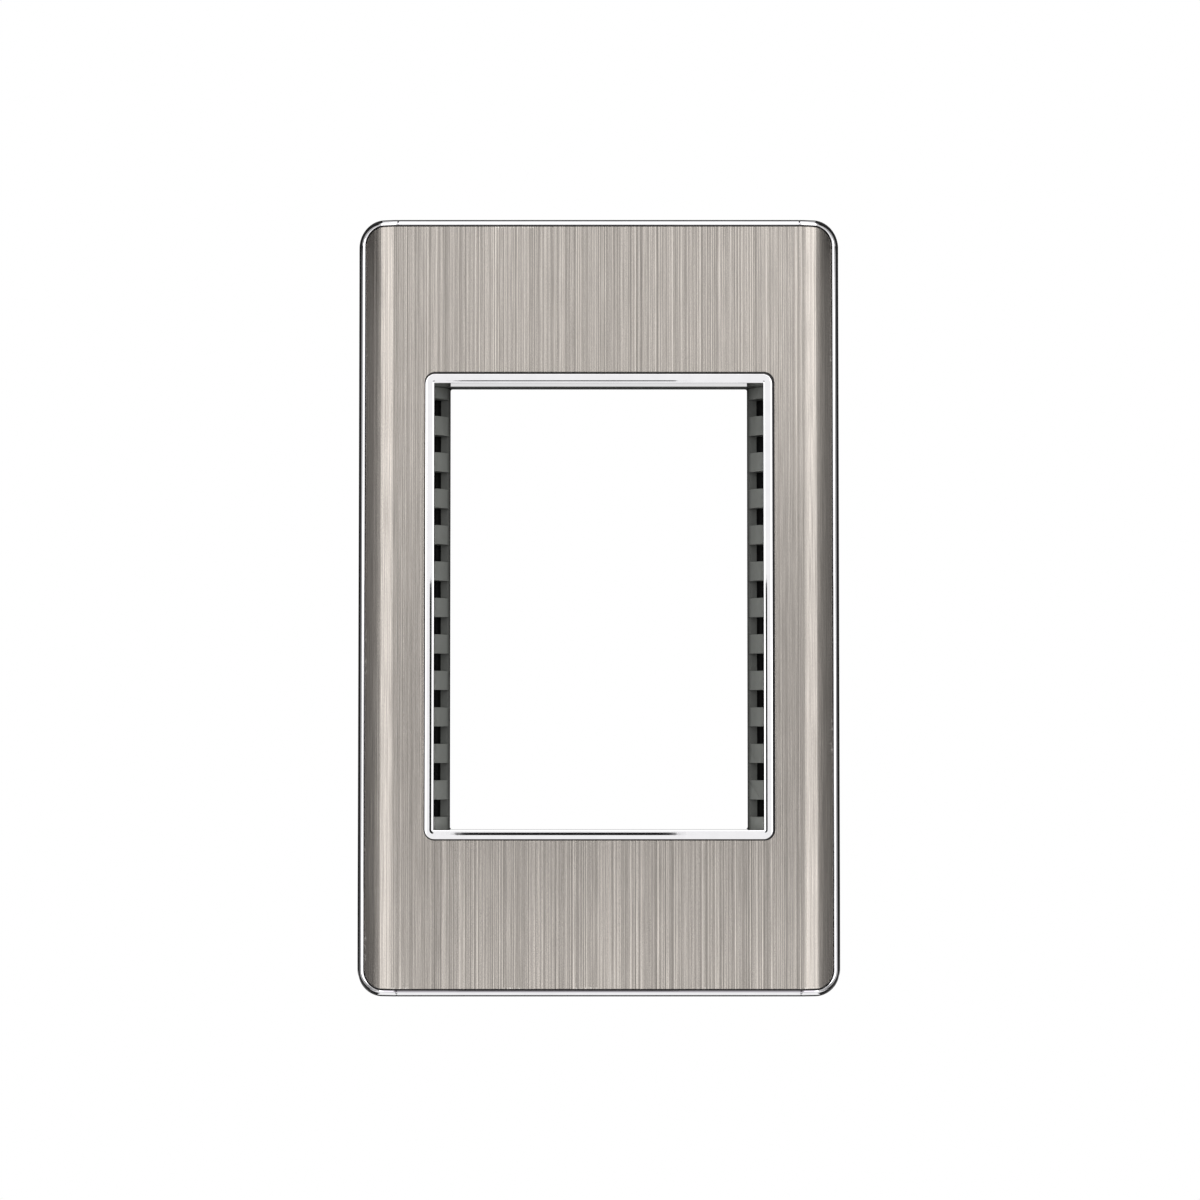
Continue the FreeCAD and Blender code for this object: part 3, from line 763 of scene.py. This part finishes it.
def is_edge_at(level: float, edge: bmesh.types.BMEdge) -> bool:
    """Return whether both ends of an edge lie at a level, in millimetres."""
    return all(abs(-vertex.co.y / MM - level) < LEVEL_GAP for vertex in edge.verts)


def rings_along(profile: Sequence[Pair]) -> list[Pair]:
    """Return the width and the rise of each ring between the points of a profile."""
    return [(end[0] - start[0], end[1] - start[1]) for start, end in zip(profile, profile[1:])]


def report(piece: bpy.types.Object) -> None:
    """Log what a finished piece amounts to."""
    sizes = " x ".join(f"{side / MM:.2f}" for side in piece.dimensions)
    log.info("%s: %s mm, %d faces", piece.name, sizes, len(piece.data.polygons))


@dataclass
class RolledSide:
    """How the front of the plate drops away towards its long sides.

    From the middle it runs over a shoulder and a flat facet into an arc. Slopes are in degrees.
    """

    start: float = 31.35
    shoulder: float = 0.55
    shoulder_slope: float = 9.0
    facet: float = 1.35
    facet_slope: float = 13.5
    first_slope: float = 20.0
    edge: float = 35.85
    edge_drop: float = 2.2
    crease: float = 0.04
    arc_steps: int = 14
    steepest: float = 0.98
    bend: float = field(init=False)
    shoulder_drop: float = field(init=False)
    facet_drop: float = field(init=False)
    radius: float = field(init=False)
    centre: float = field(init=False)
    rise: float = field(init=False)

    def __post_init__(self) -> None:
        """Work out the arc that runs from the facet to the edge of the sheet."""
        self.shoulder_drop = self.shoulder * math.tan(math.radians(self.shoulder_slope))
        facet_fall = self.facet * math.tan(math.radians(self.facet_slope))
        self.facet_drop = self.shoulder_drop + facet_fall
        self.bend = self.start + self.shoulder + self.facet
        width = self.edge - self.bend
        height = self.edge_drop - self.facet_drop
        middle = math.atan2(height, width)
        first = math.radians(self.first_slope)
        last = 2 * middle - first
        self.radius = width / (math.sin(last) - math.sin(first))
        self.centre = self.bend - self.radius * math.sin(first)
        self.rise = self.radius * math.cos(first)

    def drop(self, across: float) -> float:
        """Work out how far the surface has dropped.

        Args:
            across: Distance from the middle.

        Returns:
            The drop.
        """
        past = across - self.start
        if past <= 0:
            return 0.0
        if past <= self.shoulder:
            return self.shoulder_drop * past / self.shoulder
        if across <= self.bend:
            share = (past - self.shoulder) / self.facet
            return self.shoulder_drop + (self.facet_drop - self.shoulder_drop) * share
        turn = min((across - self.centre) / self.radius, self.steepest)
        return self.facet_drop + self.rise - self.radius * math.sqrt(1 - turn * turn)

    def creases(self) -> list[float]:
        """Return the pairs of upright lines on both sides of each crease."""
        places = (self.start, self.start + self.shoulder, self.bend)
        return [place + side for place in places for side in (-self.crease, self.crease)]

    def stations(self, reach: float) -> list[float]:
        """List the upright lines that the surface bends along.

        Args:
            reach: Distance from the middle of the last line.

        Returns:
            Distances from the middle.
        """
        # The arc's first line keeps clear of the pair at the crease.
        first = self.bend + 3 * self.crease
        shares = [i / self.arc_steps for i in range(self.arc_steps)]
        return [*self.creases(), *(first + (reach - first) * share for share in shares)]


@dataclass
class FaceSheet:
    """The brushed face sheet with its two rolled sides and its window."""

    size: Pair = (71.7, 116.5)
    radius: float = 3.0
    corner_steps: int = 24
    levels: Pair = (8.6, 9.1)
    window: Pair = (53.44, 71.5)
    window_place: Pair = (0.1, 0.08)
    window_radius: float = 1.6
    window_steps: int = 12
    tool_reach: float = 2.0
    edge_round: float = 0.12
    edge_steps: int = 3
    rim_angle: float = 1.0
    side: RolledSide = field(default_factory=RolledSide)
    finish: BrushedSteel = BrushedSteel()

    def build(self) -> bpy.types.Object:
        """Cut, edge and press the sheet.

        Returns:
            The finished sheet.
        """
        sheet = Blank.block("brushed_face", self.size, self.levels, self.radius, self.corner_steps)
        back, front = self.levels
        reach = (back - self.tool_reach, front + self.tool_reach)
        tool = Blank.block("window_tool", self.window, reach, self.window_radius, self.window_steps)
        tool.move(self.window_place)
        sheet.combine(tool, Work.CUT)
        with sheet.editing():
            sheet.pick(Element.EDGE, self.is_rim)
            bpy.ops.mesh.bevel(offset=self.edge_round * MM, segments=self.edge_steps, profile=0.5)
        half = self.size[0] / 2
        sheet.slice_upright(self.side.stations(half))
        sheet.press(lambda across, _: self.side.drop(across), self.side.drop(half), back)
        return sheet.finish(self.finish.make(), "brushed_sheet", "face_sheet")

    def is_rim(self, edge: bmesh.types.BMEdge) -> bool:
        """Return whether an edge lies on the front rim of the outline or of the window."""
        return is_edge_at(self.levels[1], edge) and edge.calc_face_angle(0.0) > self.rim_angle


@dataclass
class EdgeTrim:
    """The bright plated trim round the edge of the plate.

    The rings of its lip are shares of the lip's width: how wide each is and how much it rises.
    """

    size: Pair = (74.0, 119.0)
    radius: float = 4.0
    corner_steps: int = 28
    wall: float = 1.08
    level: float = 9.25
    round_width: float = 0.9
    round_height: float = 2.2
    round_steps: int = 14
    lip: float = 0.06
    lip_rings: tuple[Pair, Pair] = ((0.4, -0.2), (0.6, -1.0))
    flange: Pair = (1.0, 0.5)
    groove_place: float = 30.75
    groove_width: float = 0.28
    groove_depth: float = 0.14
    side: RolledSide = field(
        default_factory=lambda: RolledSide(start=31.1, facet=1.6, facet_slope=11.45, crease=0.1)
    )
    # The trim's plating gets painted shade in a strip on the inner part of its bottom side.
    finish: BrightPlating = BrightPlating("trim_plating", painted_shade_strip=(-58.72 * MM, -58.2 * MM))

    def rounding(self) -> list[Pair]:
        """Work out the rings of the rounded front, from the outside inwards.

        Returns:
            Width and rise of each ring.
        """
        turns = [math.radians(90 * i / self.round_steps) for i in range(self.round_steps + 1)]
        width, height = self.round_width, self.round_height
        return rings_along([(width * (1 - math.cos(turn)), height * math.sin(turn)) for turn in turns])

    def build(self) -> bpy.types.Object:
        """Form the ring, its flange and its rounded front, and press it to the rolled sides.

        Returns:
            The finished trim.
        """
        shoulder = self.level - self.round_height
        ring = Blank.block("edge_trim", self.size, (0.0, shoulder), self.radius, self.corner_steps)
        lip = [(self.lip * width, self.lip * rise) for width, rise in self.lip_rings]
        lip_level = self.level + sum(rise for _, rise in lip)
        ring.work_inwards(Side.FRONT, [
            *self.rounding(),
            (self.wall - self.round_width - self.lip, 0.0),
            *lip,
            (0.0, self.flange[1] - lip_level),
            (self.flange[0], 0.0),
        ])
        ring.work_inwards(Side.BACK, [(self.wall + self.flange[0], 0.0)])
        opening = tuple(side - 2 * (self.wall + self.flange[0]) for side in self.size)
        ring.open_through(opening, self.flange[1], 0.0)
        corner = self.size[0] / 2 - self.radius
        groove = [self.groove_place + self.groove_width * share for share in (-0.5, 0.0, 0.5)]
        creases = [place for place in self.side.creases() if place < corner]
        ring.slice_upright([*groove, *creases])
        ring.press(self.drop, self.side.drop(self.size[0] / 2 - self.wall), shoulder)
        return ring.finish(self.finish.make(), "trim_chrome", "outer_trim")

    def drop(self, across: float, along: float) -> float:
        """Work out how far the front of the trim has dropped beside the edge of the sheet.

        Args:
            across: Distance from the middle towards a long side.
            along: Distance from the middle towards the top or the bottom.

        Returns:
            The drop, level across the ring in the corners.
        """
        corner = self.size[0] / 2 - self.radius
        past = max(across - corner, 0.0)
        high = max(along - (self.size[1] / 2 - self.radius), 0.0)
        if past > 0:
            past *= (self.radius - self.wall) / math.hypot(past, high)
        near = 1 - abs(across - self.groove_place) / (self.groove_width / 2)
        return self.side.drop(min(across, corner) + past) + self.groove_depth * max(near, 0.0)


class Wall(Enum):
    """A pair of walls of the bezel's sleeve, with its direction's place in a size."""

    SIDES = 0
    ENDS = 1


@dataclass
class WindowBezel:
    """The bright plated bezel round the window, with its sleeve and snap barbs."""

    size: Pair = (53.0, 71.0)
    radius: float = 1.42
    corner_steps: int = 16
    lip_width: float = 1.4
    lip_back: float = 8.6
    level: float = 9.5
    sleeve_wall: float = 0.9
    sleeve_back: float = 4.9
    barb_reach: float = 0.4
    barb_root: float = 0.3
    barb_length: float = 5.0
    barb_levels: Pair = (5.95, 6.95)
    barb_tip: float = 0.4
    barb_pitches: Pair = (42.0, 24.0)
    barb_radius: float = 0.06
    barb_steps: int = 2
    edge_round: float = 0.1
    edge_turns: tuple[float, ...] = (0.0, 18.0, 36.0, 54.0, 70.0, 84.0)
    crown_radius: float = 4.4
    crown_middle: float = 0.7
    crown_steps: int = 12
    inner_round: Pair = (0.4, 0.2)
    inner_power: int = 3
    finish: BrightPlating = BrightPlating("bezel_plating")

    def crown(self, place: float) -> float:
        """Work out how high the lip stands.

        Args:
            place: Distance from the outside of the lip.

        Returns:
            The height, counted from the crest and so never above 0.
        """
        width, fall = self.inner_round
        share = max(place - self.lip_width + width, 0.0) / width
        left = max(1 - share**self.inner_power, 0.0) ** (1 / self.inner_power)
        return -((place - self.crown_middle) ** 2) / (2 * self.crown_radius) - fall * (1 - left)

    def crest(self) -> list[Pair]:
        """Work out the rings of the crowned lip, from the outside to the window.

        Returns:
            Width and rise of each ring.
        """
        start, stop = self.edge_round, self.lip_width - self.inner_round[0]
        places = [start + (stop - start) * i / self.crown_steps for i in range(self.crown_steps)]
        # The inner rounding gets steeper inwards, so its rings get narrower.
        shares = [1 - (1 - i / self.crown_steps) ** 2 for i in range(self.crown_steps + 1)]
        places += [stop + self.inner_round[0] * share for share in shares]
        turns = [math.radians(turn) for turn in self.edge_turns]
        outer = [
            (start * (1 - math.cos(turn)), self.crown(start) + start * (math.sin(turn) - 1))
            for turn in turns
        ]
        return rings_along([*outer, *((place, self.crown(place)) for place in places)])

    def build(self) -> bpy.types.Object:
        """Form the lip and the sleeve, and grow the barbs on.

        Returns:
            The finished bezel.
        """
        rings = self.crest()
        shoulder = self.level - sum(rise for _, rise in rings if rise > 0)
        bezel = Blank.block(
            "window_bezel", self.size, (self.lip_back, shoulder), self.radius, self.corner_steps
        )
        bezel.work_inwards(Side.FRONT, rings)
        bezel.work_inwards(Side.BACK, [
            (self.lip_width - self.sleeve_wall, 0.0),
            (0.0, self.lip_back - self.sleeve_back),
            (self.sleeve_wall, 0.0),
        ])
        opening = tuple(side - 2 * self.lip_width for side in self.size)
        front = shoulder + sum(rise for _, rise in rings)
        bezel.open_through(opening, front, self.sleeve_back)
        for side in (-0.5, 0.5):
            for place in (-0.5, 0.5):
                for wall in Wall:
                    bezel.combine(self.barb(wall, side, place), Work.GROW)
        return bezel.finish(self.finish.make(), "bezel_chrome", "inner_bezel")

    def barb(self, wall: Wall, side: float, place: float) -> Blank:
        """Cut one barb: a wedge that stands out from the sleeve and slopes towards its back.

        Args:
            wall: The pair of walls, one of which it stands on.
            side: Half a step towards that wall.
            place: Half a step along that wall.

        Returns:
            The barb.
        """
        axis = wall.value
        width = self.size[axis] - 2 * (self.lip_width - self.sleeve_wall)
        out = side * (width + self.barb_reach - self.barb_root)
        along = place * self.barb_pitches[axis]
        size, way = (self.barb_reach + self.barb_root, self.barb_length), (out, along)
        if wall is Wall.ENDS:
            size, way = size[::-1], way[::-1]
        wedge = Blank.block("barb", size, self.barb_levels, self.barb_radius, self.barb_steps)
        wedge.move(way)
        back, front = self.barb_levels
        outer = width / 2 + self.barb_reach / 2
        with wedge.editing():
            wedge.pick(
                Element.EDGE,
                lambda edge: is_edge_at(back, edge)
                and all(abs(vertex.co[2 * axis]) / MM > outer for vertex in edge.verts),
            )
            slope = front - back - self.barb_tip
            bpy.ops.transform.translate(value=(0.0, -slope * MM, 0.0))
        return wedge


@dataclass
class MountingFrame:
    """The dark moulded frame with its two notched module rails."""

    edge_round: float = 0.12
    edge_steps: int = 2
    edge_angle: float = 40.0
    floor: float = -34.2
    floor_search: float = 0.1
    floor_relief: float = 0.25
    # The frame's finish has painted shade in its recesses and on the end walls of the module opening.
    finish: MouldedPlastic = MouldedPlastic(
        "frame_plastic_dark", dark=(0.212, 0.22, 0.205), light=(0.312, 0.32, 0.3), roughness=0.62,
        specular=0.25, recess_shade_levels=(0.95 * MM, 2.7 * MM),
    )

    def build(self, nodes: dict[str, bpy.types.Object]) -> bpy.types.Object:
        """Lower the floor of the module opening and soften the edges of the moulding.

        Args:
            nodes: The solids of the plate.

        Returns:
            The finished frame.
        """
        frame = Blank.copied("rail_frame", nodes["mounting_frame"])
        with frame.editing():
            frame.pick(Element.FACE, self.is_floor)
            bpy.ops.transform.translate(value=(0.0, 0.0, -self.floor_relief * MM))
        frame.modify(
            "BEVEL", width=self.edge_round * MM, segments=self.edge_steps, limit_method="ANGLE",
            angle_limit=math.radians(self.edge_angle), use_clamp_overlap=True, harden_normals=False,
        )
        return frame.finish(self.finish.make(), "frame_plastic", "mounting_frame")

    def is_floor(self, face: bmesh.types.BMFace) -> bool:
        """Return whether a face is the floor of the module opening."""
        height = face.calc_center_median().z / MM
        return face.normal.z > SQUARE_ON and abs(height - self.floor) < self.floor_search


@dataclass
class CoverCarrier:
    """The near-black carrier that holds the sheet, the trim and the bezel."""

    finish: MouldedPlastic = MouldedPlastic(
        "carrier_plastic_black", dark=(0.022, 0.022, 0.024), light=(0.045, 0.045, 0.048),
        roughness=0.55,
    )

    def dress(self, nodes: dict[str, bpy.types.Object]) -> bpy.types.Object:
        """Give the carrier its finish.

        Args:
            nodes: The solids of the plate.

        Returns:
            The dressed carrier.
        """
        node = nodes["cover_carrier"]
        node.data.materials.clear()
        node.data.materials.append(self.finish.make())
        return node


class Stance(Enum):
    """How a card stands, as its turns about x, y and z."""

    ALONG = (math.pi / 2, 0.0, math.pi / 2)
    ACROSS = (math.pi / 2, 0.0, 0.0)
    FLAT = (0.0, 0.0, 0.0)


@dataclass(frozen=True)
class Card:
    """A large card that only the bright metal sees, in its reflections."""

    name: str
    size: Pair
    place: Triple
    stance: Stance
    shade: float
    near_shade: float | None = None
    fade: float = 0.5
    swing: float = 0.0

    def build(self) -> None:
        """Stand the card up, paler towards its front end where it has a near shade."""
        bpy.ops.object.select_all(action="DESELECT")
        roll, pitch, turn = self.stance.value
        bpy.ops.mesh.primitive_plane_add(
            size=1.0, location=self.place, rotation=(roll, pitch, turn + self.swing)
        )
        card = bpy.context.object
        card.name = self.name
        card.scale = (self.size[0], self.size[1], 1.0)
        bpy.ops.object.transform_apply(location=False, rotation=False, scale=True)
        material, recipe = new_material(f"{self.name}_paint")
        colour: Any = (self.shade,) * 3
        if self.near_shade is not None:
            front = -self.size[0] / 2
            far = recipe.axes()[0].ramp(front, front + self.fade * self.size[0], smooth=False)
            colour = recipe.blend(far, (self.near_shade,) * 3, colour)
        glow = recipe.node("ShaderNodeEmission", {}, {"Color": colour, "Strength": 1.0})
        recipe.node("ShaderNodeOutputMaterial", {}, {"Surface": glow.outputs[0]})
        card.data.materials.append(material)
        card.visible_camera = False
        card.visible_diffuse = False
        card.visible_shadow = False

    def both(self) -> list["Card"]:
        """Pair the card with its mirror image.

        Returns:
            This card, the left one, and the right one.
        """
        out, depth, height = self.place
        name = self.name.replace("left", "right")
        return [self, replace(self, name=name, place=(-out, depth, height), swing=-self.swing)]


@dataclass(frozen=True)
class Softbox:
    """A large soft lamp that looks at the plate."""

    name: str
    size: Pair
    place: Triple
    power: float

    def build(self) -> None:
        """Hang the lamp and turn it to the plate."""
        lamp = bpy.data.lights.new(self.name, "AREA")
        lamp.shape = "RECTANGLE"
        lamp.size, lamp.size_y = self.size
        lamp.energy = self.power
        holder = bpy.data.objects.new(self.name, lamp)
        bpy.context.scene.collection.objects.link(holder)
        holder.location = self.place
        holder.rotation_mode = "QUATERNION"
        holder.rotation_quaternion = (-Vector(self.place)).to_track_quat("-Z", "Y")


@dataclass
class Studio:
    """Pale floor, soft light, cards and camera."""

    distance: float = 0.4595
    eye_height: float = -0.0195
    tilt: float = 2.1
    lens: float = 88.66
    sensor_width: float = 36.0
    shift: Pair = (0.001, 0.0213)
    clip: Pair = (0.01, 100.0)
    floor_level: float = -0.26
    floor_size: float = 40.0
    floor_shade: float = 0.18
    surroundings: float = 0.35

    def build(self) -> None:
        """Set up the whole studio."""
        self.build_floor()
        self.build_world()
        for piece in [*self.lamps(), *self.cards()]:
            piece.build()
        self.build_camera()
        bpy.context.scene.view_settings.view_transform = "Standard"

    def cards(self) -> list[Card]:
        """List the cards that the metal mirrors.

        A plated surface mirrors what stands at twice its tilt from the camera. So the cards beside
        and behind the plate draw the dark lines of the trim, and those above and below it the lines
        in its corners. Flags, shelves and skirts only serve the plated side in oblique views.

        Returns:
            The cards.
        """
        along, across, flat = Stance
        return [
            *Card("left_wing", (0.80, 4.0), (-0.62, -0.30, 0.0), along, 0.42, near_shade=0.75).both(),
            *Card("left_flag", (0.1, 4.0), (-0.60, -0.67, 0.0), along, 0.3).both(),
            *Card("left_card", (3.9, 4.0), (-0.62, 2.05, 0.0), along, 0.02).both(),
            Card("top_card", (1.4, 3.22), (0.0, 1.91, 0.62), flat, 0.04),
            *Card("top_left_card", (0.7, 0.72), (-0.55, 0.16, 0.62), flat, 0.02).both(),
            Card("bottom_card", (1.4, 0.9), (0.0, 0.6, -0.252), flat, 0.04),
            *Card("left_shelf", (0.72, 0.2), (-0.424, 0.615, -0.25), flat, 0.12, swing=-0.833).both(),
            *Card("left_apron", (0.55, 0.14), (-0.612, -0.175, -0.195), along, 0.02).both(),
            *Card("left_header", (0.55, 0.47), (-0.612, -0.175, 0.385), along, 0.02).both(),
            *Card("left_skirt", (1.1, 0.11), (-0.61, 1.2, -0.205), along, 0.2).both(),
            *Card("bottom_left_card", (0.55, 0.23), (-0.395, 0.035, -0.25), flat, 0.02).both(),
            Card("back_card", (0.24, 0.5), (0.0, 0.8, 0.0), across, 0.78),
            Card("camera_card", (0.068, 0.095), (-0.01, -0.47, -0.02), across, 0.02),
        ]

    def lamps(self) -> list[Softbox]:
        """List the soft lamps: one on each side of the camera and one above the plate.

        Returns:
            The lamps.
        """
        return [
            Softbox("left_lamp", (0.36, 1.5), (-0.40, -0.72, 0.08), 3.4),
            Softbox("right_lamp", (0.36, 1.5), (0.40, -0.72, 0.08), 3.4),
            Softbox("top_lamp", (0.8, 0.4), (0.0, -0.45, 0.8), 1.5),
        ]

    def build_floor(self) -> None:
        """Lay a floor that is white to the eye and to the metal, and grey to other light."""
        bpy.ops.object.select_all(action="DESELECT")
        bpy.ops.mesh.primitive_plane_add(size=self.floor_size, location=(0.0, 0.0, self.floor_level))
        floor = bpy.context.object
        floor.name = "floor"
        material, recipe = new_material("floor_white")
        grey = (self.floor_shade,) * 3
        paint = recipe.node("ShaderNodeBsdfDiffuse", {}, {"Color": grey, "Roughness": 1.0})
        glow = recipe.node("ShaderNodeEmission", {}, {"Color": WHITE, "Strength": 1.0})
        recipe.backdrop("ShaderNodeOutputMaterial", paint, glow)
        floor.data.materials.append(material)

    def build_world(self) -> None:
        """Make the surroundings white to the eye and to the metal, and softly bright."""
        world = bpy.data.worlds.new("studio")
        bpy.context.scene.world = world
        world.use_nodes = True
        recipe = Recipe(world.node_tree)
        soft, white = (
            recipe.node("ShaderNodeBackground", {}, {"Color": WHITE, "Strength": strength})
            for strength in (self.surroundings, 1.0)
        )
        recipe.backdrop("ShaderNodeOutputWorld", soft, white)

    def build_camera(self) -> None:
        """Stand the camera up in front of the plate."""
        camera = bpy.data.cameras.new("camera")
        camera.lens = self.lens
        camera.sensor_width = self.sensor_width
        camera.shift_x, camera.shift_y = self.shift
        camera.clip_start, camera.clip_end = self.clip
        holder = bpy.data.objects.new("camera", camera)
        bpy.context.scene.collection.objects.link(holder)
        holder.location = (0.0, -self.distance, self.eye_height)
        holder.rotation_euler = (math.radians(90 + self.tilt), 0.0, 0.0)
        bpy.context.scene.camera = holder


def main() -> None:
    """Build the plate and its studio in order."""
    logging.basicConfig(level=logging.INFO, format="%(message)s")
    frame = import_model()
    nodes = frame["nodes"]

    report(CoverCarrier().dress(nodes))
    report(MountingFrame().build(nodes))
    report(EdgeTrim().build())
    report(FaceSheet().build())
    report(WindowBezel().build())
    Studio().build()


if __name__ == "__main__":
    main()
